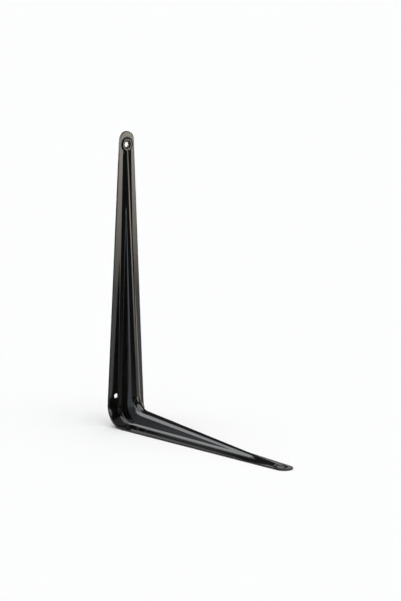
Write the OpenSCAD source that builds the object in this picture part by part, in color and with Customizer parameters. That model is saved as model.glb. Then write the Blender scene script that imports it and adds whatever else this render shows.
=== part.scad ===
// Shelf bracket pressed from one sheet of steel and enamelled black.
// The long leg stands along +Z with its fixing face on the plane y = 0.
// The short leg reaches along -Y with its fixing face on the plane z = 0.
// A hollow rib runs along the inner side from tip to tip, and two flat
// flanges beside it taper from the corner bend to the rounded tips.

/* [Legs] */
// Length of the long leg, from the short leg's fixing face to its tip
long_leg = 300; // [220:1:400]
// Length of the short leg, from the long leg's fixing face to its tip
short_leg = 250; // [180:1:350]
// Width that the tapers reach at the outside corner
corner_w = 48.2; // [44:0.1:60]
// Width of the rounded tips
tip_w = 18; // [17:0.5:24]

/* [Sheet] */
// Thickness of the steel sheet
sheet = 1.5; // [1:0.1:1.8]
// Outside radius of the corner bend
bend_r = 22; // [16:0.5:26]

/* [Rib] */
// Depth of the rib's crown in front of the long leg's fixing face, at the inside corner
rib_depth = 21.5; // [18:0.1:24]
// Height of the rib's crown over the short leg's fixing face, at the inside corner
rib_height = 19.9; // [18:0.1:24]
// Rise of the crown over the flanges where it runs into a tip ring
rib_tip_rise = 1.3; // [0.8:0.1:1.6]
// Width of the flat along the crown
crown_w = 0.6; // [0.4:0.1:2]
// Width of the rib between its feet, along the corner bend
rib_w = 23.2; // [21:0.1:25]
// Width of the rib between its feet where it runs into a tip ring
rib_tip_w = 12; // [10:0.1:14]
// Largest radius of the hollow foot between wall and flange
foot_r = 4.4; // [3:0.1:5.5]
// Largest radius of the shoulders beside the crown, where the rib is deepest
shoulder_r = 6.4; // [5:0.1:7]
// Share of the shoulder radius that is left where the rib runs into a tip ring
shoulder_taper = 0.32; // [0.3:0.01:0.6]
// Steepest lean of the rib's walls, measured from the flange
wall_angle = 81; // [77:1:84]
// Radius of the crown round the inside corner
crown_r = 14; // [8:0.5:20]

/* [Tip rings] */
// Distance from a tip's end to the centre of its screw hole
tip_inset = 13.5; // [11:0.5:18]
// Width of the flat seat between the tip hole and its ring
ring_seat = 0.25; // [0.2:0.05:0.8]
// Width of the slope from the seat up to the ring's crown
ring_inner_slope = 1.5; // [0.9:0.05:1.7]
// Width of the flat on top of the ring
ring_crown = 1.1; // [0.8:0.05:1.4]
// Width of the slope from the ring's crown down to the flange
ring_outer_slope = 1.6; // [0.8:0.05:1.8]
// Rise of the ring over the flange
ring_rise = 1.2; // [0.8:0.1:1.4]

/* [Screw holes] */
// Diameter of every screw hole
hole_d = 5.5; // [4:0.1:6]
// Distance from the end of the bend to the nearer hole of each leg
hole_from_bend = 8.5; // [6:0.5:20]
// Distance along a leg between its nearer and its further hole
hole_stagger = 15.5; // [8:0.5:30]
// Distance from the middle of a leg to the centre of each flange hole
hole_offset = 12.9; // [12.5:0.1:15]

/* [Hidden] */
enamel = "#1c1b1a";
LONG = 0;
SHORT = 1;
$fn = 72;

// Steps of the pressed surface: along a leg, round the bend, round a tip
// and round each radius of the rib's section
leg_steps = 14;
bend_steps = 14;
tip_steps = 7;
arc_steps = 6;
// How far a cutting tool runs past the surface it opens
overcut = 1;

// Radii of a tip ring, from the seat outwards
seat_r = hole_d / 2 + ring_seat;
ring_in_r = seat_r + ring_inner_slope;
ring_out_r = ring_in_r + ring_crown;
ring_foot_r = ring_out_r + ring_outer_slope;
tip_r = tip_w / 2;

function unit(v) = v / norm(v);
function mix(a, b, f) = a + (b - a) * f;

// Side view of the legs: points are [y, z], q runs from the outside corner to the tip
function leg_len(leg) = leg == LONG ? long_leg : short_leg;
function face_pt(leg, q) = leg == LONG ? [0, q] : [-q, 0];
function inward(leg) = leg == LONG ? [-1, 0] : [0, 1];
function hole_q(leg) = leg_len(leg) - tip_inset;
function rib_end_q(leg) = hole_q(leg) - ring_out_r;
function half_w(leg, q) = mix(corner_w, tip_w, q / (leg_len(leg) - tip_r)) / 2;

// Crown line of the rib: straight along each leg, with a round inside corner
crown_corner = [-rib_depth, rib_height];
function crown_end(leg) = face_pt(leg, rib_end_q(leg)) + inward(leg) * (sheet + rib_tip_rise);
function crown_dir(leg) = unit(crown_end(leg) - crown_corner);
crown_turn = acos(crown_dir(LONG) * crown_dir(SHORT));
crown_centre = crown_corner
    + unit(crown_dir(LONG) + crown_dir(SHORT)) * crown_r / sin(crown_turn / 2);
function crown_start(leg) = crown_corner + crown_dir(leg) * crown_r / tan(crown_turn / 2);
function crown_out(leg) = unit(crown_start(leg) - crown_centre);
function heading(v) = atan2(v[1], v[0]);
function bend_out(f) =
    let (a = mix(heading(crown_out(LONG)), heading(crown_out(SHORT)), f)) [cos(a), sin(a)];

// Half of the rib's section at a given rise and foot: foot arc, leaning wall, shoulder arc.
// The feet run straight along a leg, and the shoulders get fuller with the rise. Both radii
// shrink together where the arcs would meet or the wall would lean past its steepest angle.
// The wall is the line that touches both arcs. On the hollow side the arcs keep their
// centres and are one sheet further in.
function shoulder(rise) =
    shoulder_r * min(1, mix(shoulder_taper, 1,
        (rise - rib_tip_rise) / (rib_depth - sheet - rib_tip_rise)));
function room(rise, run) =
    min((run^2 + rise^2) / (2 * rise), (run - rise / tan(wall_angle)) / tan(wall_angle / 2));
function share(rise, run) = min(1, room(rise, run) / (shoulder(rise) + foot_r));
function lean(rise, run) =
    let (radii = (shoulder(rise) + foot_r) * share(rise, run), span = [run, radii - rise])
    atan2(span[0], span[1]) - acos(min(1, radii / norm(span)));
function section_half(rise, foot, depth) =
    let (
        run = foot - crown_w / 2,
        step = lean(rise, run) / (arc_steps - 0.5),
        top_r = shoulder(rise) * share(rise, run) - sheet + depth,
        low_r = foot_r * share(rise, run) + sheet - depth
    )
    concat(
        [for (k = [0 : arc_steps - 1])
            [foot - low_r * sin(k * step), low_r * (1 - cos(k * step))]],
        [for (k = [arc_steps - 1 : -1 : 0])
            [crown_w / 2 + top_r * sin(k * step), rise - top_r * (1 - cos(k * step))]]
    );

// A station holds the outer face point, the inward normal, the crown point, the crown's
// outward normal, the half width of the sheet, the half width of the rib between its
// feet, and whether the rib is raised there
function rib_station(leg, f) =
    let (q = mix(bend_r, rib_end_q(leg), f))
    [face_pt(leg, q), inward(leg), mix(crown_start(leg), crown_end(leg), f), crown_out(leg),
        half_w(leg, q), mix(rib_w, rib_tip_w, f) / 2, 1];
function flat_station(leg, q, half) =
    [face_pt(leg, q), inward(leg), face_pt(leg, q) + inward(leg) * (sheet + rib_tip_rise),
        -inward(leg), half, rib_tip_w / 2, 0];
function bend_station(f) =
    let (a = 90 * f, out = [cos(a), -sin(a)])
    [[-bend_r, bend_r] + bend_r * out, -out, crown_centre + crown_r * bend_out(f), bend_out(f),
        mix(half_w(LONG, bend_r), half_w(SHORT, bend_r), f), rib_w / 2, 1];
function tip_stations(leg) =
    let (step = 90 / tip_steps, centre_q = leg_len(leg) - tip_r)
    concat(
        [for (q = [hole_q(leg) - ring_in_r, hole_q(leg)]) flat_station(leg, q, half_w(leg, q))],
        [for (k = [0 : tip_steps - 1])
            flat_station(leg, centre_q + tip_r * sin(k * step), tip_r * cos(k * step))],
        [flat_station(leg, leg_len(leg), tip_r * tan(step / 2))]
    );
function leg_stations(leg) =
    concat([for (k = [0 : leg_steps]) rib_station(leg, k / leg_steps)], tip_stations(leg));
function reversed(list) = [for (k = [len(list) - 1 : -1 : 0]) list[k]];
stations = concat(
    reversed(leg_stations(LONG)),
    [for (k = [1 : bend_steps - 1]) bend_station(k / bend_steps)],
    leg_stations(SHORT)
);

// One row of points across the sheet, on its rib side (depth = sheet) or its hollow side
function row(station, depth) =
    let (
        foot = station[0] + station[1] * depth,
        crown = station[2] + station[3] * (sheet - depth),
        rise = (crown - foot) * station[1],
        half = station[4],
        raised = station[6],
        squeeze = raised == 1 ? 1 : min(1, half / tip_r),
        section = section_half(rise, station[5], depth),
        right = concat(
            [[half, foot]],
            [for (p = section) [p[0] * squeeze, foot + (crown - foot) * raised * p[1] / rise]]
        )
    )
    concat(
        [for (p = right) [-p[0], p[1][0], p[1][1]]],
        [for (p = reversed(right)) [p[0], p[1][0], p[1][1]]]
    );

module pressed_sheet() {
    columns = 4 * arc_steps + 2;
    last = len(stations) - 1;
    function rib_side(i, j) = 2 * i * columns + j;
    function hollow_side(i, j) = rib_side(i, j) + columns;
    function quad(a, b, c, d) = [[a, b, c], [a, c, d]];
    rib_faces = [for (i = [0 : last - 1], j = [0 : columns - 2])
        each quad(rib_side(i, j), rib_side(i, j + 1), rib_side(i + 1, j + 1), rib_side(i + 1, j))];
    hollow_faces = [for (i = [0 : last - 1], j = [0 : columns - 2])
        each quad(hollow_side(i, j), hollow_side(i + 1, j),
            hollow_side(i + 1, j + 1), hollow_side(i, j + 1))];
    left_edge = [for (i = [0 : last - 1])
        each quad(rib_side(i, 0), rib_side(i + 1, 0), hollow_side(i + 1, 0), hollow_side(i, 0))];
    right_edge = [for (i = [0 : last - 1], j = columns - 1)
        each quad(rib_side(i, j), hollow_side(i, j), hollow_side(i + 1, j), rib_side(i + 1, j))];
    long_end = [for (j = [0 : columns - 2])
        each quad(hollow_side(0, j), hollow_side(0, j + 1), rib_side(0, j + 1), rib_side(0, j))];
    short_end = [for (j = [0 : columns - 2])
        each quad(rib_side(last, j), rib_side(last, j + 1),
            hollow_side(last, j + 1), hollow_side(last, j))];
    polyhedron(
        points = [for (s = stations) each concat(row(s, sheet), row(s, 0))],
        faces = concat(rib_faces, hollow_faces, left_edge, right_edge, long_end, short_end)
    );
}

// Puts a shape drawn flat, Y along the leg and Z out of its fixing face, on a leg
module on_leg(leg) {
    if (leg == LONG) rotate([90, 0, 0]) children();
    else mirror([0, 1, 0]) children();
}

// Raised ring round a tip hole, rooted inside the sheet under the rib's end
module tip_ring() {
    root = (sheet + rib_tip_rise) / 2;
    rotate_extrude()
        polygon([[seat_r, root], [seat_r, sheet], [ring_in_r, sheet + ring_rise],
            [ring_out_r, sheet + ring_rise], [ring_foot_r, sheet], [ring_foot_r, root]]);
}

// Groove that the ring leaves in the hollow side of the sheet
module tip_groove() {
    inner_r = seat_r + sheet * tan(atan(ring_rise / ring_inner_slope) / 2);
    outer_r = ring_foot_r - sheet * tan(atan(ring_rise / ring_outer_slope) / 2);
    rotate_extrude()
        polygon([[inner_r, -overcut], [inner_r, 0], [(ring_in_r + ring_out_r) / 2, ring_rise],
            [outer_r, 0], [outer_r, -overcut]]);
}

module screw_hole() {
    translate([0, 0, -overcut])
        cylinder(d = hole_d, h = sheet + ring_rise + 2 * overcut);
}

// Places of the two flange holes on a leg: the nearer and the further one swap
// sides from leg to leg, so that no two screws share a line
near_q = bend_r + hole_from_bend;
function flange_holes(leg) =
    let (side = leg == LONG ? -1 : 1)
    [[side * hole_offset, near_q], [-side * hole_offset, near_q + hole_stagger]];

module bracket() {
    color(enamel)
        difference() {
            union() {
                pressed_sheet();
                for (leg = [LONG, SHORT])
                    on_leg(leg) translate([0, hole_q(leg), 0]) tip_ring();
            }
            for (leg = [LONG, SHORT])
                on_leg(leg) {
                    translate([0, hole_q(leg), 0]) {
                        tip_groove();
                        screw_hole();
                    }
                    for (at = flange_holes(leg))
                        translate(at) screw_hole();
                }
        }
}

bracket();
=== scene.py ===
"""Pressed steel shelf bracket in gloss black enamel, laid out as an add-on and run as a script."""

import math

import bmesh
import bpy
from bpy.props import FloatProperty, FloatVectorProperty, PointerProperty
from bpy.types import Operator, Panel, PropertyGroup
from mathutils import Matrix, Vector


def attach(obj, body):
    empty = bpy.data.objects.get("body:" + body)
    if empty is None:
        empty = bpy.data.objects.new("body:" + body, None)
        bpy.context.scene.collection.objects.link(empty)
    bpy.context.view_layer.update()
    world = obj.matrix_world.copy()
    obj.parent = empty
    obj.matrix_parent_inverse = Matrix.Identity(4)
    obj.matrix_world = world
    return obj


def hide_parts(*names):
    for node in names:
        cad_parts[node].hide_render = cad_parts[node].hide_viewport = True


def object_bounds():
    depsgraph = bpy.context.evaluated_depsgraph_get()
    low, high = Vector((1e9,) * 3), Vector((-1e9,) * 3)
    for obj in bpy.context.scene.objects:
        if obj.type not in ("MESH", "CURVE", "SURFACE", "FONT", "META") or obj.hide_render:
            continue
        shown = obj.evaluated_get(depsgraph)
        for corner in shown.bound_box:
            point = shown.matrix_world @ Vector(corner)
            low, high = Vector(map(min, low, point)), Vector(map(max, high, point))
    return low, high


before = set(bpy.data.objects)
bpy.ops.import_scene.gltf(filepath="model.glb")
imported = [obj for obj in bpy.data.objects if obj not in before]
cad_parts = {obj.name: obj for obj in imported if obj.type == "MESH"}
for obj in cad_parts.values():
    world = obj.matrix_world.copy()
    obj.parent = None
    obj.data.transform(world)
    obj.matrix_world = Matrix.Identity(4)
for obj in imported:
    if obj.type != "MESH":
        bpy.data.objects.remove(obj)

bl_info = {
    "name": "Pressed Shelf Bracket",
    "version": (1, 0, 0),
    "blender": (4, 5, 0),
    "location": "3D View > Sidebar > Bracket",
    "description": "Models a pressed shelf bracket with its enamel and a small studio round it",
    "category": "Add Mesh",
}

CAD_BOX = [list(corner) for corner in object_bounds()]
LONG, SHORT = 0, 1
MM = 0.001
CUT_EDGE_ANGLE = math.radians(55)
CUT_EDGE_SEGMENTS = 2
CARD_STEPS = 24
FLOOR_REACH = 12.0
SUN_SPREAD = math.radians(75)
SENSOR_WIDTH = 36.0
# From the middle of the CAD box to the point that the camera looks at.
CAMERA_AIM = Vector((11.51, 21.49, -8.62)) * MM


def length(name, description, default):
    """A length in metres that the user may change."""
    return FloatProperty(name=name, description=description, default=default, min=0.0,
                         precision=5, unit="LENGTH", subtype="DISTANCE")


def angle(name, description, degrees):
    """An angle that the user may change."""
    return FloatProperty(name=name, description=description, default=math.radians(degrees),
                         subtype="ANGLE")


def colour(name, description, default):
    """A linear colour that the user may change."""
    return FloatVectorProperty(name=name, description=description, default=default, size=3,
                               min=0.0, soft_max=1.0, subtype="COLOR")


class BracketSizes(PropertyGroup):
    """Sizes of the pressed sheet."""
    long_leg: length("Long leg", "Length of the standing leg", CAD_BOX[1][2])
    short_leg: length("Short leg", "Length of the lying leg", -CAD_BOX[0][1])
    corner_w: length("Corner width", "Width that the tapers reach at the corner", 48.2 * MM)
    tip_w: length("Tip width", "Width of the rounded tips", 18 * MM)
    sheet: length("Sheet", "Thickness of the steel", 1.5 * MM)
    bend_r: length("Bend radius", "Outside radius of the corner bend", 22 * MM)
    rib_depth: length("Rib depth", "Depth of the crown from the long leg's face", 21.5 * MM)
    rib_height: length("Rib height", "Height of the crown over the short leg's face", 19.9 * MM)
    rib_tip_rise: length("Rib tip rise", "Rise of the crown where it meets a ring", 1.3 * MM)
    crown_w: length("Crown width", "Width of the flat along the crown", 0.6 * MM)
    rib_w: length("Rib width", "Width between the rib's feet along the bend", 23.2 * MM)
    rib_tip_w: length("Rib tip width", "Width between the rib's feet at a ring", 12 * MM)
    foot_r: length("Foot radius", "Largest radius between wall and flange", 4.4 * MM)
    shoulder_r: length("Shoulder radius", "Largest radius beside the crown", 6.4 * MM)
    shoulder_taper: FloatProperty(name="Shoulder taper", default=0.32, min=0.1, max=1.0,
                                  description="Share of the shoulder radius left at a ring",
                                  subtype="FACTOR")
    wall_angle: angle("Wall angle", "Steepest lean of the rib's walls", 81)
    crown_r: length("Crown radius", "Radius of the crown round the inside corner", 14 * MM)
    tip_inset: length("Tip inset", "From a tip's end to its screw hole", 13.5 * MM)
    hole_d: length("Hole diameter", "Diameter of every screw hole", 5.5 * MM)
    ring_seat: length("Ring seat", "Flat between tip hole and ring", 0.25 * MM)
    ring_inner_slope: length("Ring inner slope", "Slope up to the ring's crown", 1.5 * MM)
    ring_crown: length("Ring crown", "Flat on top of the ring", 1.1 * MM)
    ring_outer_slope: length("Ring outer slope", "Slope down to the flange", 1.6 * MM)
    ring_rise: length("Ring rise", "Rise of the ring over the flange", 1.2 * MM)
    hole_from_bend: length("Hole from bend", "From the bend to a leg's nearer hole", 8.5 * MM)
    hole_stagger: length("Hole stagger", "Between a leg's nearer and further hole", 15.5 * MM)
    hole_offset: length("Hole offset", "From the middle line to a flange hole", 12.9 * MM)
    edge_round: length("Edge round", "Rounding of the cut edges under the enamel", 0.4 * MM)


class EnamelLook(PropertyGroup):
    """Finish of the bracket."""
    body_colour: colour("Enamel", "Colour of the full coat", (0.0052, 0.0050, 0.0049))
    thin_colour: colour("Thin coat", "Colour where the coat runs thin at an edge",
                        (0.013, 0.0125, 0.012))
    gloss: FloatProperty(name="Gloss roughness", description="Roughness of the clean coat",
                         default=0.07, min=0.02, max=0.6, subtype="FACTOR")
    dulled: FloatProperty(name="Dulled roughness", description="Roughness where it is handled",
                          default=0.14, min=0.02, max=0.8, subtype="FACTOR")
    edge_dull: FloatProperty(name="Edge roughness", description="Roughness along the edges",
                             default=0.5, min=0.02, max=0.8, subtype="FACTOR")
    peel: length("Peel height", "Height of the coat's fine ripple", 0.006 * MM)
    ripple: length("Press ripple", "Height of the sheet's slow waves", 0.05 * MM)


class StudioLook(PropertyGroup):
    """Floor, light and camera."""
    floor_colour: colour("Floor", "Colour of the pale floor", (0.92, 0.92, 0.92))
    sky_light: FloatProperty(name="Overhead light", description="Strength of the broad top light",
                             default=3.08, min=0.0)
    azimuth: angle("Azimuth", "Camera's turn round the bracket", -40.525)
    elevation: angle("Elevation", "Camera's height over the horizon", 10.699)
    roll: angle("Roll", "Camera's roll", 0.464)
    distance: length("Distance", "From the camera to the point it looks at", 2.6)
    lens: FloatProperty(name="Lens", description="Focal length in millimetres", default=158.09,
                        min=10.0)


def mix(a, b, f):
    """The value a share f of the way from a to b."""
    return a + (b - a) * f


class PressForm:
    """Side view and section of the pressed sheet; q runs along a leg from the corner."""

    # Points along each arc, up the wall and across the flange, and the lip kept at its edge.
    arc_steps = 6
    wall_steps = 3
    flange_shares = (0.8, 0.6, 0.4, 0.2, 0.0)
    lip = 1.0 * MM

    def __init__(self, sizes):
        self.s = sizes
        self.hole_r = sizes.hole_d / 2
        self.tip_r = sizes.tip_w / 2
        self.seat_r = self.hole_r + sizes.ring_seat
        self.ring_in_r = self.seat_r + sizes.ring_inner_slope
        self.ring_out_r = self.ring_in_r + sizes.ring_crown
        self.ring_foot_r = self.ring_out_r + sizes.ring_outer_slope
        self.corner = Vector((-sizes.rib_depth, sizes.rib_height))
        ways = [self.crown_way(leg) for leg in (LONG, SHORT)]
        half_turn = ways[LONG].angle(ways[SHORT]) / 2
        bisector = (ways[LONG] + ways[SHORT]).normalized()
        self.crown_centre = self.corner + bisector * sizes.crown_r / math.sin(half_turn)
        self.crown_starts = [self.corner + way * sizes.crown_r / math.tan(half_turn)
                             for way in ways]

    def leg_len(self, leg):
        """Length of a leg from the outside corner."""
        return self.s.long_leg if leg == LONG else self.s.short_leg

    def face_point(self, leg, q):
        """Point (y, z) on a leg's fixing face."""
        return Vector((0.0, q)) if leg == LONG else Vector((-q, 0.0))

    def inward(self, leg):
        """Way from a leg's fixing face to its rib side."""
        return Vector((-1.0, 0.0)) if leg == LONG else Vector((0.0, 1.0))

    def hole_q(self, leg):
        """Place of a leg's tip hole."""
        return self.leg_len(leg) - self.s.tip_inset

    def rib_end_q(self, leg):
        """Place where a leg's rib runs into the ring."""
        return self.hole_q(leg) - self.ring_out_r

    def half_width(self, leg, q):
        """Half the width of the tapered leg."""
        return mix(self.s.corner_w, self.s.tip_w, q / (self.leg_len(leg) - self.tip_r)) / 2

    def crown_end(self, leg):
        """End of the crown at a leg's ring."""
        depth = self.s.sheet + self.s.rib_tip_rise
        return self.face_point(leg, self.rib_end_q(leg)) + self.inward(leg) * depth

    def crown_way(self, leg):
        """Way of the crown from the inside corner out along a leg."""
        return (self.crown_end(leg) - self.corner).normalized()

    def foot_half(self, leg, q):
        """Half the width between the rib's feet, which run straight along a leg."""
        f = (q - self.s.bend_r) / (self.rib_end_q(leg) - self.s.bend_r)
        return mix(self.s.rib_w, self.s.rib_tip_w, min(1.0, f)) / 2

    def fillets(self, rise, foot):
        """Shoulder and foot radius, which shrink together where the section lacks room."""
        run = foot - self.s.crown_w / 2
        low, high = self.s.rib_tip_rise, self.s.rib_depth - self.s.sheet
        fullness = mix(self.s.shoulder_taper, 1.0, (rise - low) / (high - low))
        shoulder = self.s.shoulder_r * min(1.0, fullness)
        steepest = self.s.wall_angle
        room = min((run ** 2 + rise ** 2) / (2 * rise),
                   (run - rise / math.tan(steepest)) / math.tan(steepest / 2))
        share = min(1.0, room / (shoulder + self.s.foot_r))
        return shoulder * share, self.s.foot_r * share

    def lean(self, rise, foot):
        """Lean of the wall that touches both arcs."""
        both = sum(self.fillets(rise, foot))
        run, drop = foot - self.s.crown_w / 2, both - rise
        return math.atan2(run, drop) - math.acos(min(1.0, both / math.hypot(run, drop)))

    def half_section(self, rise, foot, half):
        """Points (x, height) from the sheet's edge to the crown's middle line."""
        top_r, foot_r = self.fillets(rise, foot)
        lip = half - self.lip
        step = self.lean(rise, foot) / (self.arc_steps - 0.5)
        turns = [k * step for k in range(self.arc_steps)]
        flange = [(half, 0.0), (lip, 0.0)]
        flange += [(mix(foot, lip, share), 0.0) for share in self.flange_shares]
        foot_arc = [(foot - foot_r * math.sin(t), foot_r * (1 - math.cos(t))) for t in turns[1:]]
        shoulder = [(self.s.crown_w / 2 + top_r * math.sin(t), rise - top_r * (1 - math.cos(t)))
                    for t in reversed(turns)]
        low, high = Vector(foot_arc[-1]), Vector(shoulder[0])
        wall = [tuple(low.lerp(high, k / self.wall_steps)) for k in range(1, self.wall_steps)]
        return flange + foot_arc + wall + shoulder + [(0.0, rise)]

    def leg_station(self, leg, q):
        """Base point, inward way, crown point, half widths of rib and sheet of a leg's row."""
        f = (q - self.s.bend_r) / (self.rib_end_q(leg) - self.s.bend_r)
        base = self.face_point(leg, q) + self.inward(leg) * self.s.sheet
        crown = self.crown_starts[leg].lerp(self.crown_end(leg), f)
        return base, self.inward(leg), crown, self.foot_half(leg, q), self.half_width(leg, q)

    def bend_station(self, f):
        """The same for a row across the corner bend, f from the long leg to the short one."""
        turn = math.radians(90) * f
        out = Vector((math.cos(turn), -math.sin(turn)))
        centre = Vector((-self.s.bend_r, self.s.bend_r))
        base = centre + out * (self.s.bend_r - self.s.sheet)
        spokes = [self.crown_starts[leg] - self.crown_centre for leg in (LONG, SHORT)]
        headings = [math.atan2(spoke.y, spoke.x) for spoke in spokes]
        a = mix(headings[LONG], headings[SHORT], f)
        crown = self.crown_centre + Vector((math.cos(a), math.sin(a))) * self.s.crown_r
        half = mix(self.half_width(LONG, self.s.bend_r), self.half_width(SHORT, self.s.bend_r), f)
        return base, -out, crown, self.s.rib_w / 2, half

    def row(self, station):
        """Points across the whole sheet, from its left edge to its right edge."""
        base, inward, crown, foot, half = station
        rise = (crown - base).dot(inward)
        left = []
        for x, height in self.half_section(rise, foot, half):
            at = base.lerp(crown, height / rise)
            left.append(Vector((-x, at.x, at.y)))
        right = [Vector((-p.x, p.y, p.z)) for p in reversed(left[:-1])]
        return left + right

    def on_leg(self, leg, x, q, height):
        """A point over a leg's rib side."""
        at = self.face_point(leg, q) + self.inward(leg) * (self.s.sheet + height)
        return Vector((x, at.x, at.y))

    def rib_rise(self, leg, q):
        """Rise of the crown over the flange at q."""
        start, end = self.crown_starts[leg], self.crown_end(leg)
        along = [p.y if leg == LONG else -p.x for p in (start, end)]
        depth = [-p.x if leg == LONG else p.y for p in (start, end)]
        f = min(1.0, (q - along[0]) / (along[1] - along[0]))
        return mix(depth[0], depth[1], f) - self.s.sheet

    def rib_height(self, leg, x, q):
        """Height of the rib's side over the flange."""
        rise = self.rib_rise(leg, q)
        foot = self.foot_half(leg, q)
        a = self.lean(rise, foot)
        top_r, foot_r = self.fillets(rise, foot)
        from_crown = abs(x) - self.s.crown_w / 2
        from_foot = foot - abs(x)
        if from_crown <= 0:
            return rise
        if from_foot <= 0:
            return 0.0
        if from_crown <= top_r * math.sin(a):
            return rise - top_r + math.sqrt(top_r ** 2 - from_crown ** 2)
        if from_foot <= foot_r * math.sin(a):
            return foot_r - math.sqrt(foot_r ** 2 - from_foot ** 2)
        return (from_foot - foot_r * math.tan(a / 2)) * math.tan(a)

    def flange_holes(self, leg):
        """Places (x, q) of a leg's two flange holes, which swap sides from leg to leg."""
        near_q = self.s.bend_r + self.s.hole_from_bend
        x = self.s.hole_offset if leg == SHORT else -self.s.hole_offset
        return [(x, near_q), (-x, near_q + self.s.hole_stagger)]


class BracketPress:
    """Presses a flat blank into the bracket's rib side, with its holes and rings."""

    # Rows of the blank: round the bend, up to the nearer hole, beside a hole, between the
    # holes, and how far apart they lie on the rest of a leg.
    bend_rows = 12
    near_rows = 2
    hole_rows = 6
    between_rows = 3
    row_pitch = 9 * MM
    # A flange hole: reach of its patch along the leg, columns beside the patch, and its loops
    # as radius over the hole's radius and share of the rib's height that is kept.
    hole_reach = 4.3 * MM
    lip_columns = 2
    foot_columns = 2
    hole_loops = ((1.45, 0.35), (1.25, 0.0), (1.1, 0.0), (0.93, 0.0))
    # A tip: distance from its hole to the blank's last row, steps of its outline, and the
    # spoke length in lips under which its rim loops share the spoke evenly.
    tip_row = 10.5 * MM
    tip_arc_steps = 18
    tip_side_steps = 4
    short_spoke = 3
    # A tip ring: margin at its hole, loops beside its creases, its hollow toe with the loop
    # past it, and how firmly ring and rib keep their own shapes where they meet.
    hole_margin = 0.2 * MM
    crease = 0.16 * MM
    ring_toe = 0.9 * MM
    ring_hollow = 2.2
    toe_shares = (0.25, 0.45, 0.65, 0.85, 1.0)
    ring_support = 0.3 * MM
    meeting_power = 7
    merge_gap = 0.002 * MM

    def __init__(self, form):
        self.form = form
        self.toe_r = form.ring_foot_r + self.ring_toe
        self.bm = bmesh.new()

    def leg_rows(self, leg):
        """Places of the rows along a leg, set close beside the flange holes."""
        form = self.form
        marks = [form.s.bend_r]
        for x, q in form.flange_holes(leg):
            marks += [q - self.hole_reach, q + self.hole_reach]
        marks.append(form.hole_q(leg) - self.tip_row)
        counts = [self.near_rows, self.hole_rows, self.between_rows, self.hole_rows,
                  math.ceil((marks[-1] - marks[-2]) / self.row_pitch)]
        rows = [marks[0]]
        for start, end, count in zip(marks, marks[1:], counts):
            rows += [mix(start, end, k / count) for k in range(1, count + 1)]
        return rows

    def blank(self):
        """A flat grid, with each of its rows pressed to the section at its station."""
        form = self.form
        legs = [self.leg_rows(leg) for leg in (LONG, SHORT)]
        stations = [form.leg_station(LONG, q) for q in reversed(legs[LONG])]
        stations += [form.bend_station(k / self.bend_rows) for k in range(1, self.bend_rows)]
        stations += [form.leg_station(SHORT, q) for q in legs[SHORT]]
        rows = [form.row(station) for station in stations]
        down, across = len(rows) - 1, len(rows[0]) - 1
        bmesh.ops.create_grid(self.bm, x_segments=across, y_segments=down, size=1.0)
        self.grid = {}
        for vert in self.bm.verts:
            j = round((vert.co.x + 1) / 2 * across)
            i = round((vert.co.y + 1) / 2 * down)
            self.grid[i, j] = vert
        for (i, j), vert in self.grid.items():
            vert.co = rows[i][j]
        self.leg_q = {(LONG, k): len(legs[LONG]) - 1 - k for k in range(len(legs[LONG]))}
        first_short = len(legs[LONG]) + self.bend_rows - 1
        self.leg_q.update({(SHORT, k): first_short + k for k in range(len(legs[SHORT]))})
        self.across = across
        self.last_row = {LONG: 0, SHORT: down}

    def flange_hole(self, leg, place, first_row):
        """Opens a patch of the blank beside the rib and draws its edge in to a round hole."""
        form = self.form
        x0, q0 = place
        width = len(form.flange_shares) + self.foot_columns
        columns = [self.lip_columns + k for k in range(1, width)]
        if x0 > 0:
            columns = [self.across - j for j in columns]
        rows = [self.leg_q[leg, first_row + k] for k in range(self.hole_rows + 1)]
        patch = {self.grid[i, j] for i in rows for j in columns}
        faces = [f for f in self.bm.faces if all(v in patch for v in f.verts)]
        bmesh.ops.delete(self.bm, geom=faces, context="FACES")
        patch = {v for v in patch if v.is_valid}
        rim = [e for e in self.bm.edges if e.is_boundary and all(v in patch for v in e.verts)]
        for reach, share in self.hole_loops:
            radius = reach * form.hole_r
            made = bmesh.ops.extrude_edge_only(self.bm, edges=rim)["geom"]
            rim = [e for e in made if isinstance(e, bmesh.types.BMEdge) and e.is_boundary]
            for vert in (v for v in made if isinstance(v, bmesh.types.BMVert)):
                q = vert.co.z if leg == LONG else -vert.co.y
                turn = math.atan2(q - q0, vert.co.x - x0)
                x = x0 + radius * math.cos(turn)
                q = q0 + radius * math.sin(turn)
                vert.co = form.on_leg(leg, x, q, share * form.rib_height(leg, x, q))

    def ring_height(self, r):
        """Height of the tip ring over the flange at a radius from the hole's centre."""
        form = self.form
        if r <= form.seat_r or r >= self.toe_r:
            return 0.0
        if r < form.ring_in_r:
            return form.s.ring_rise * (r - form.seat_r) / form.s.ring_inner_slope
        if r > form.ring_out_r:
            left = (self.toe_r - r) / (self.toe_r - form.ring_out_r)
            return form.s.ring_rise * left ** self.ring_hollow
        return form.s.ring_rise

    def tip_height(self, leg, x, q):
        """Ring and rib blended together near a tip."""
        form = self.form
        r = math.hypot(x, q - form.hole_q(leg))
        ring = self.ring_height(r)
        if r <= form.ring_out_r or q >= form.hole_q(leg):
            return ring
        rib = form.rib_height(leg, x, q)
        power = self.meeting_power
        return (ring ** power + rib ** power) ** (1 / power)

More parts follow.
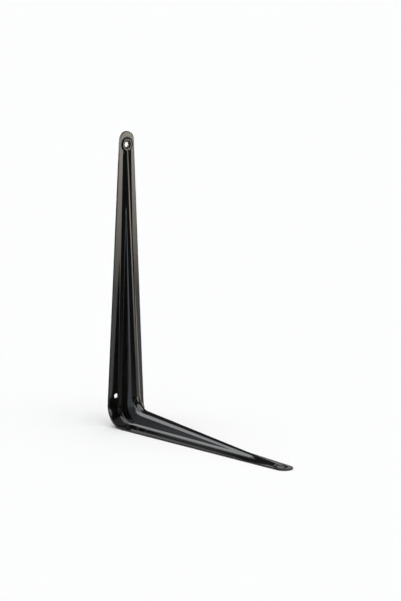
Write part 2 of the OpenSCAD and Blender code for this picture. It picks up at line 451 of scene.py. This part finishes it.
    def tip_ends(self, leg):
        """Where a tip's spokes end: the blank's last row, then the rounded outline."""
        form = self.form
        centre_q = form.leg_len(leg) - form.tip_r
        start_q = form.hole_q(leg) - self.tip_row
        sides = [mix(start_q, centre_q, k / self.tip_side_steps)
                 for k in range(1, self.tip_side_steps)]
        turns = [math.pi * k / self.tip_arc_steps for k in range(self.tip_arc_steps + 1)]
        outline = [(form.half_width(leg, q), q) for q in sides]
        outline += [(form.tip_r * math.cos(t), centre_q + form.tip_r * math.sin(t)) for t in turns]
        outline += [(-form.half_width(leg, q), q) for q in reversed(sides)]
        row = [self.grid[self.last_row[leg], j].co.copy() for j in range(self.across + 1)]
        return row + [form.on_leg(leg, x, q, 0.0) for x, q in outline]

    def ring_radii(self):
        """Radii of a tip's loops, from the hole's edge over the ring to just past its toe."""
        form = self.form
        crown_r = (form.ring_in_r + form.ring_out_r) / 2
        radii = [form.hole_r, form.hole_r + self.hole_margin, form.seat_r,
                 form.seat_r + self.crease, form.ring_in_r - self.crease, form.ring_in_r,
                 form.ring_in_r + self.crease, crown_r, form.ring_out_r - self.crease,
                 form.ring_out_r, form.ring_out_r + self.crease]
        radii += [mix(form.ring_out_r, self.toe_r, share) for share in self.toe_shares]
        return radii + [self.toe_r + self.ring_support]

    def tip(self, leg):
        """Rounded tip: spokes from the hole's edge over the ring to the outline."""
        form = self.form
        ends = self.tip_ends(leg)
        flat = [(p.x, (p.z if leg == LONG else -p.y) - form.hole_q(leg)) for p in ends]
        spokes = [math.atan2(q, x) for x, q in flat]
        radii = self.ring_radii()
        circle = bmesh.ops.create_circle(self.bm, segments=len(ends), radius=form.hole_r)["verts"]
        spoke_of = {vert: k for k, vert in enumerate(circle)}
        rim = list(dict.fromkeys(e for v in circle for e in v.link_edges))
        self.place_loop(leg, spoke_of, lambda k: self.polar(leg, radii[0], spokes[k]))
        for r in radii[1:]:
            rim, spoke_of = self.next_loop(rim, spoke_of)
            self.place_loop(leg, spoke_of, lambda k: self.polar(leg, r, spokes[k]))
        for inset in (2 * form.lip, form.lip):
            rim, spoke_of = self.next_loop(rim, spoke_of)
            self.place_loop(leg, spoke_of,
                            lambda k: self.part_way(leg, radii[-1], spokes[k], flat[k], inset))
        rim, spoke_of = self.next_loop(rim, spoke_of)
        for vert, k in spoke_of.items():
            vert.co = ends[k]

    def polar(self, leg, r, turn):
        """A place on a spoke at a radius from the tip hole."""
        x, q = r * math.cos(turn), r * math.sin(turn)
        return x, self.form.hole_q(leg) + q

    def part_way(self, leg, r, turn, end, inset):
        """A place on a spoke between a radius and its end, set in from the end."""
        free = math.hypot(*end) - r
        share = 1 - min(inset / free, inset / (self.short_spoke * self.form.lip))
        x = mix(r * math.cos(turn), end[0], share)
        q = mix(r * math.sin(turn), end[1], share)
        return x, self.form.hole_q(leg) + q

    def place_loop(self, leg, spoke_of, place):
        """Sets each vertex of a loop on its spoke, at the tip's height there."""
        for vert, k in spoke_of.items():
            x, q = place(k)
            vert.co = self.form.on_leg(leg, x, q, self.tip_height(leg, x, q))

    def next_loop(self, rim, spoke_of):
        """Extrudes an edge loop; each new vertex keeps the spoke of the one it came from."""
        made = bmesh.ops.extrude_edge_only(self.bm, edges=rim)["geom"]
        new_rim = [e for e in made if isinstance(e, bmesh.types.BMEdge) and len(e.link_faces) == 1]
        new_verts = [v for v in made if isinstance(v, bmesh.types.BMVert)]
        new_spokes = {}
        for vert in new_verts:
            for edge in vert.link_edges:
                other = edge.other_vert(vert)
                if other in spoke_of:
                    new_spokes[vert] = spoke_of[other]
        rim_verts = set(new_verts)
        new_rim = [e for e in new_rim if all(v in rim_verts for v in e.verts)]
        return new_rim, new_spokes

    def press(self):
        """The whole rib side, facing away from the hollow, with its cut edges marked."""
        form = self.form
        self.blank()
        for leg in (LONG, SHORT):
            rows = self.leg_rows(leg)
            for place in form.flange_holes(leg):
                start = place[1] - self.hole_reach
                first_row = min(range(len(rows)), key=lambda k: abs(rows[k] - start))
                self.flange_hole(leg, place, first_row)
            self.tip(leg)
        bmesh.ops.remove_doubles(self.bm, verts=self.bm.verts, dist=self.merge_gap)
        bmesh.ops.recalc_face_normals(self.bm, faces=self.bm.faces)
        self.bm.normal_update()
        # The rib side of the long tip has to look along -Y.
        highest = max(self.bm.faces, key=lambda f: f.calc_center_median().z)
        if highest.normal.y > 0:
            bmesh.ops.reverse_faces(self.bm, faces=self.bm.faces)
        rim = self.bm.verts.layers.float.new("rim")
        for vert in self.bm.verts:
            vert[rim] = 1.0 if vert.is_boundary else 0.0
        for face in self.bm.faces:
            face.smooth = True
        return self.bm


def new_node(tree, kind, place, **values):
    """Adds a shader node and sets its named inputs."""
    node = tree.nodes.new(kind)
    node.location = place
    for name, value in values.items():
        node.inputs[name].default_value = value
    return node


def enamel_material(look):
    """Gloss black enamel: slow press ripple, fine peel, handling marks and thin edges."""
    material = bpy.data.materials.new("black_enamel")
    material.use_nodes = True
    tree = material.node_tree
    link = tree.links.new
    shader = tree.nodes["Principled BSDF"]
    shader.inputs["IOR"].default_value = 1.52
    shader.inputs["Specular IOR Level"].default_value = 0.5
    where = new_node(tree, "ShaderNodeTexCoord", (-1300, 0))

    def noise(place, scale, detail, rough):
        node = new_node(tree, "ShaderNodeTexNoise", place, Scale=scale, Detail=detail,
                        Roughness=rough)
        link(where.outputs["Object"], node.inputs["Vector"])
        return node.outputs["Fac"]

    ripple_scale, peel_scale, hand_scale, edge_scale = 55.0, 520.0, 38.0, 210.0
    handled = new_node(tree, "ShaderNodeMapRange", (-700, 100), **{
        "From Min": 0.42, "From Max": 0.72, "To Min": look.gloss, "To Max": look.dulled})
    link(noise((-1000, 100), hand_scale, detail=5.0, rough=0.62), handled.inputs["Value"])

    # The rim attribute runs from 0 on the sheet to 1 on its cut edge. Folded at its half, it
    # peaks in the line beside the edge, where the coat is duller.
    rim = new_node(tree, "ShaderNodeAttribute", (-1000, 420))
    rim.attribute_name = "rim"
    beside = new_node(tree, "ShaderNodeMath", (-850, 560))
    beside.operation = "PINGPONG"
    beside.inputs[1].default_value = 0.5
    link(rim.outputs["Fac"], beside.inputs[0])
    worn = new_node(tree, "ShaderNodeMapRange", (-700, 560), **{"From Max": 0.35})
    link(beside.outputs["Value"], worn.inputs["Value"])
    link(handled.outputs["Result"], worn.inputs["To Min"])
    worn.inputs["To Max"].default_value = look.edge_dull
    link(worn.outputs["Result"], shader.inputs["Roughness"])
    broken = new_node(tree, "ShaderNodeMath", (-700, 420))
    broken.operation = "MULTIPLY"
    link(rim.outputs["Fac"], broken.inputs[0])
    link(noise((-1000, 260), edge_scale, detail=3.0, rough=0.6), broken.inputs[1])
    coat = new_node(tree, "ShaderNodeMix", (-400, 420))
    coat.data_type = "RGBA"
    coat.inputs["A"].default_value = (*look.body_colour, 1.0)
    coat.inputs["B"].default_value = (*look.thin_colour, 1.0)
    link(broken.outputs["Value"], coat.inputs["Factor"])
    link(coat.outputs["Result"], shader.inputs["Base Color"])

    slow = new_node(tree, "ShaderNodeBump", (-700, -250), Strength=1.0, Distance=look.ripple)
    link(noise((-1000, -200), ripple_scale, detail=1.0, rough=0.4), slow.inputs["Height"])
    fine = new_node(tree, "ShaderNodeBump", (-400, -250), Strength=1.0, Distance=look.peel)
    link(noise((-1000, -420), peel_scale, detail=2.0, rough=0.5), fine.inputs["Height"])
    link(slow.outputs["Normal"], fine.inputs["Normal"])
    link(fine.outputs["Normal"], shader.inputs["Normal"])
    return material


def mesh_object(name, bm, material):
    """Makes an object at the origin from a bmesh, and frees the bmesh."""
    mesh = bpy.data.meshes.new(name)
    bm.to_mesh(mesh)
    bm.free()
    obj = bpy.data.objects.new(name, mesh)
    bpy.context.scene.collection.objects.link(obj)
    if material:
        mesh.materials.append(material)
    return obj


class BRACKET_OT_pressed_sheet(Operator):
    """Model the pressed and enamelled sheet in place of the plain solid"""
    bl_idname = "bracket.pressed_sheet"
    bl_label = "Pressed Sheet"

    def execute(self, context):
        sizes = context.scene.bracket_sizes
        bm = BracketPress(PressForm(sizes)).press()
        piece = mesh_object("enamelled_bracket", bm, enamel_material(context.scene.enamel_look))
        smooth = piece.modifiers.new("Drawn surface", "SUBSURF")
        smooth.levels = smooth.render_levels = 1
        wall = piece.modifiers.new("Sheet thickness", "SOLIDIFY")
        wall.thickness = sizes.sheet
        wall.offset = -1.0
        wall.use_even_offset = True
        edges = piece.modifiers.new("Cut edges", "BEVEL")
        edges.width = sizes.edge_round
        edges.segments = CUT_EDGE_SEGMENTS
        edges.limit_method = "ANGLE"
        edges.angle_limit = CUT_EDGE_ANGLE
        piece.modifiers.new("Flat faces", "WEIGHTED_NORMAL")
        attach(piece, "root")
        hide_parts("bracket")
        return {"FINISHED"}


WARM_LAMP = (1.0, 0.93, 0.81)
PALE_LAMP = (1.0, 0.97, 0.88)
BLUE_STRIP = (0.80, 0.90, 1.0)
DAYLIGHT = (0.97, 0.98, 1.0)
WARM_CLOTH = (1.0, 0.94, 0.86)
COOL_CLOTH = (0.85, 0.93, 1.0)
GREY = (1.0, 1.0, 1.0)

# Cards that show only in the gloss. Each is an arc round the bracket's corner: name, start and
# end of its turn in degrees from the front towards the left, the near and far radius and the
# low and high level in metres, colour, and strength at the low level and at the high one.
CARDS = (
    ("front_right_light", -47, -12, 0.80, 0.80, 0.00, 0.21, WARM_LAMP, 1.35, 5.75),
    ("front_right_high", -54, -12, 0.80, 0.80, 0.21, 0.62, PALE_LAMP, 3.2, 1.2),
    ("left_strip", 97, 118, 0.05, 2.60, 0.001, 0.001, BLUE_STRIP, 0.9, 3.0),
    ("back_left_light", 124, 149, 2.00, 2.00, 0.14, 2.10, DAYLIGHT, 4.5, 4.5),
    ("back_light", 149, 174, 2.00, 2.00, 0.14, 2.10, DAYLIGHT, 1.5, 1.5),
    ("left_high_light", 88, 124, 2.00, 2.00, 0.35, 2.10, DAYLIGHT, 3.0, 3.0),
    ("front_near_cloth", -12, 97, 0.05, 0.75, 0.001, 0.001, WARM_CLOTH, 0.32, 0.05),
    ("front_cloth", -12, 97, 0.75, 2.60, 0.001, 0.001, GREY, 0.04, 0.04),
    ("front_flag", -12, 97, 2.60, 2.60, 0.00, 0.60, GREY, 0.04, 0.04),
    ("right_cloth", -150, -47, 1.00, 2.60, 0.001, 0.001, GREY, 0.04, 0.04),
    ("right_flag", -125, -47, 2.60, 2.60, 0.00, 0.60, GREY, 0.04, 0.04),
    ("left_cloth", 118, 215, 0.05, 2.60, 0.001, 0.001, COOL_CLOTH, 0.45, 0.12),
    ("left_far_cloth", 118, 215, 2.60, 11.0, 0.001, 0.001, COOL_CLOTH, 0.12, 0.06),
)


def card_material(name, tint, low, high):
    """A card whose glow runs from one strength to another along its spun edge."""
    material = bpy.data.materials.new(name)
    material.use_nodes = True
    tree = material.node_tree
    tree.nodes.clear()
    link = tree.links.new
    along = new_node(tree, "ShaderNodeAttribute", (-600, 0))
    along.attribute_name = "along"
    grade = new_node(tree, "ShaderNodeMapRange", (-400, 0), **{"To Min": low, "To Max": high})
    link(along.outputs["Fac"], grade.inputs["Value"])
    glow = new_node(tree, "ShaderNodeEmission", (-200, 0), Color=(*tint, 1.0))
    link(grade.outputs["Result"], glow.inputs["Strength"])
    out = new_node(tree, "ShaderNodeOutputMaterial", (0, 0))
    link(glow.outputs["Emission"], out.inputs["Surface"])
    return material


def studio_card(card):
    """Spins one edge round the corner's upright into an arc that shows only in the gloss."""
    name, start, end, near, far, low_level, high_level, tint, low, high = card
    bm = bmesh.new()
    along = bm.verts.layers.float.new("along")
    foot = bmesh.ops.create_vert(bm, co=(0.0, -near, low_level))["vert"]
    for head in bmesh.ops.extrude_vert_indiv(bm, verts=foot)["verts"]:
        head.co = (0.0, -far, high_level)
        head[along] = 1.0
    upright = (0.0, 0.0, 1.0)
    begin = Matrix.Rotation(math.radians(-start), 3, upright)
    bmesh.ops.rotate(bm, verts=bm.verts, cent=(0.0, 0.0, 0.0), matrix=begin)
    bmesh.ops.spin(bm, geom=[*bm.verts, *bm.edges], cent=(0.0, 0.0, 0.0), axis=upright,
                   angle=math.radians(start - end), steps=CARD_STEPS)
    obj = mesh_object(name, bm, card_material(name, tint, low, high))
    obj.visible_camera = False
    obj.visible_diffuse = False
    obj.visible_shadow = False
    return obj


class BRACKET_OT_studio(Operator):
    """Set up the pale floor, the light and the camera"""
    bl_idname = "bracket.studio"
    bl_label = "Studio"

    def execute(self, context):
        look = context.scene.studio_look
        low, high = (Vector(corner) for corner in CAD_BOX)
        centre = (low + high) / 2
        self.floor(look, low.z)
        self.sky(context, look)
        for card in CARDS:
            studio_card(card)
        self.camera(context, look, centre)
        context.scene.view_settings.view_transform = "Standard"
        return {"FINISHED"}

    def floor(self, look, level):
        """Pale matt floor under the bracket."""
        material = bpy.data.materials.new("pale_floor")
        material.use_nodes = True
        shader = material.node_tree.nodes["Principled BSDF"]
        shader.inputs["Base Color"].default_value = (*look.floor_colour, 1.0)
        shader.inputs["Roughness"].default_value = 0.9
        shader.inputs["Specular IOR Level"].default_value = 0.0
        bm = bmesh.new()
        bmesh.ops.create_grid(bm, x_segments=1, y_segments=1, size=FLOOR_REACH,
                              matrix=Matrix.Translation((0, 0, level)))
        mesh_object("floor", bm, material)

    def sky(self, context, look):
        """Broad top light, and air that is pale near the horizon and dark above it."""
        lamp = bpy.data.lights.new("overhead_light", "SUN")
        lamp.energy = look.sky_light
        lamp.angle = SUN_SPREAD
        context.scene.collection.objects.link(bpy.data.objects.new("overhead_light", lamp))
        world = bpy.data.worlds.new("studio_air")
        world.use_nodes = True
        tree = world.node_tree
        link = tree.links.new
        back = tree.nodes["Background"]
        where = new_node(tree, "ShaderNodeTexCoord", (-800, 0))
        split = new_node(tree, "ShaderNodeSeparateXYZ", (-600, 0))
        link(where.outputs["Generated"], split.inputs["Vector"])
        grade = new_node(tree, "ShaderNodeMapRange", (-400, 0), **{
            "From Min": 0.26, "From Max": 0.33, "To Min": 0.55, "To Max": 0.05})
        grade.interpolation_type = "SMOOTHSTEP"
        link(split.outputs["Z"], grade.inputs["Value"])
        back.inputs["Color"].default_value = (0.93, 0.97, 1.0, 1.0)
        link(grade.outputs["Result"], back.inputs["Strength"])
        context.scene.world = world

    def camera(self, context, look, centre):
        """Camera at the photograph's viewing angle."""
        aim = centre + CAMERA_AIM
        a, e = look.azimuth, look.elevation
        back = Vector((math.sin(a) * math.cos(e), -math.cos(a) * math.cos(e), math.sin(e)))
        data = bpy.data.cameras.new("camera")
        data.lens = look.lens
        data.sensor_width = SENSOR_WIDTH
        data.clip_end = 100.0
        camera = bpy.data.objects.new("camera", data)
        camera.rotation_mode = "QUATERNION"
        camera.location = aim + back * look.distance
        upright = (-back).to_track_quat("-Z", "Y")
        camera.rotation_quaternion = upright @ Matrix.Rotation(look.roll, 3, "Z").to_quaternion()
        context.scene.collection.objects.link(camera)
        context.scene.camera = camera


class BRACKET_PT_sidebar(Panel):
    """Sizes, finish and studio of the bracket"""
    bl_label = "Shelf Bracket"
    bl_idname = "BRACKET_PT_sidebar"
    bl_space_type = "VIEW_3D"
    bl_region_type = "UI"
    bl_category = "Bracket"

    def draw(self, context):
        layout = self.layout
        for group in (context.scene.bracket_sizes, context.scene.enamel_look,
                      context.scene.studio_look):
            column = layout.column(align=True)
            for name in group.bl_rna.properties.keys():
                if name not in {"rna_type", "name"}:
                    column.prop(group, name)
        layout.operator(BRACKET_OT_pressed_sheet.bl_idname)
        layout.operator(BRACKET_OT_studio.bl_idname)


CLASSES = (BracketSizes, EnamelLook, StudioLook, BRACKET_OT_pressed_sheet, BRACKET_OT_studio,
           BRACKET_PT_sidebar)


def register():
    """Register the classes and hang their settings on the scene."""
    for cls in CLASSES:
        bpy.utils.register_class(cls)
    bpy.types.Scene.bracket_sizes = PointerProperty(type=BracketSizes)
    bpy.types.Scene.enamel_look = PointerProperty(type=EnamelLook)
    bpy.types.Scene.studio_look = PointerProperty(type=StudioLook)


def unregister():
    """Take the settings and the classes away again."""
    del bpy.types.Scene.studio_look
    del bpy.types.Scene.enamel_look
    del bpy.types.Scene.bracket_sizes
    for cls in reversed(CLASSES):
        bpy.utils.unregister_class(cls)


def main():
    """Model the bracket and its studio."""
    register()
    bpy.ops.bracket.pressed_sheet()
    bpy.ops.bracket.studio()


if __name__ == "__main__":
    main()
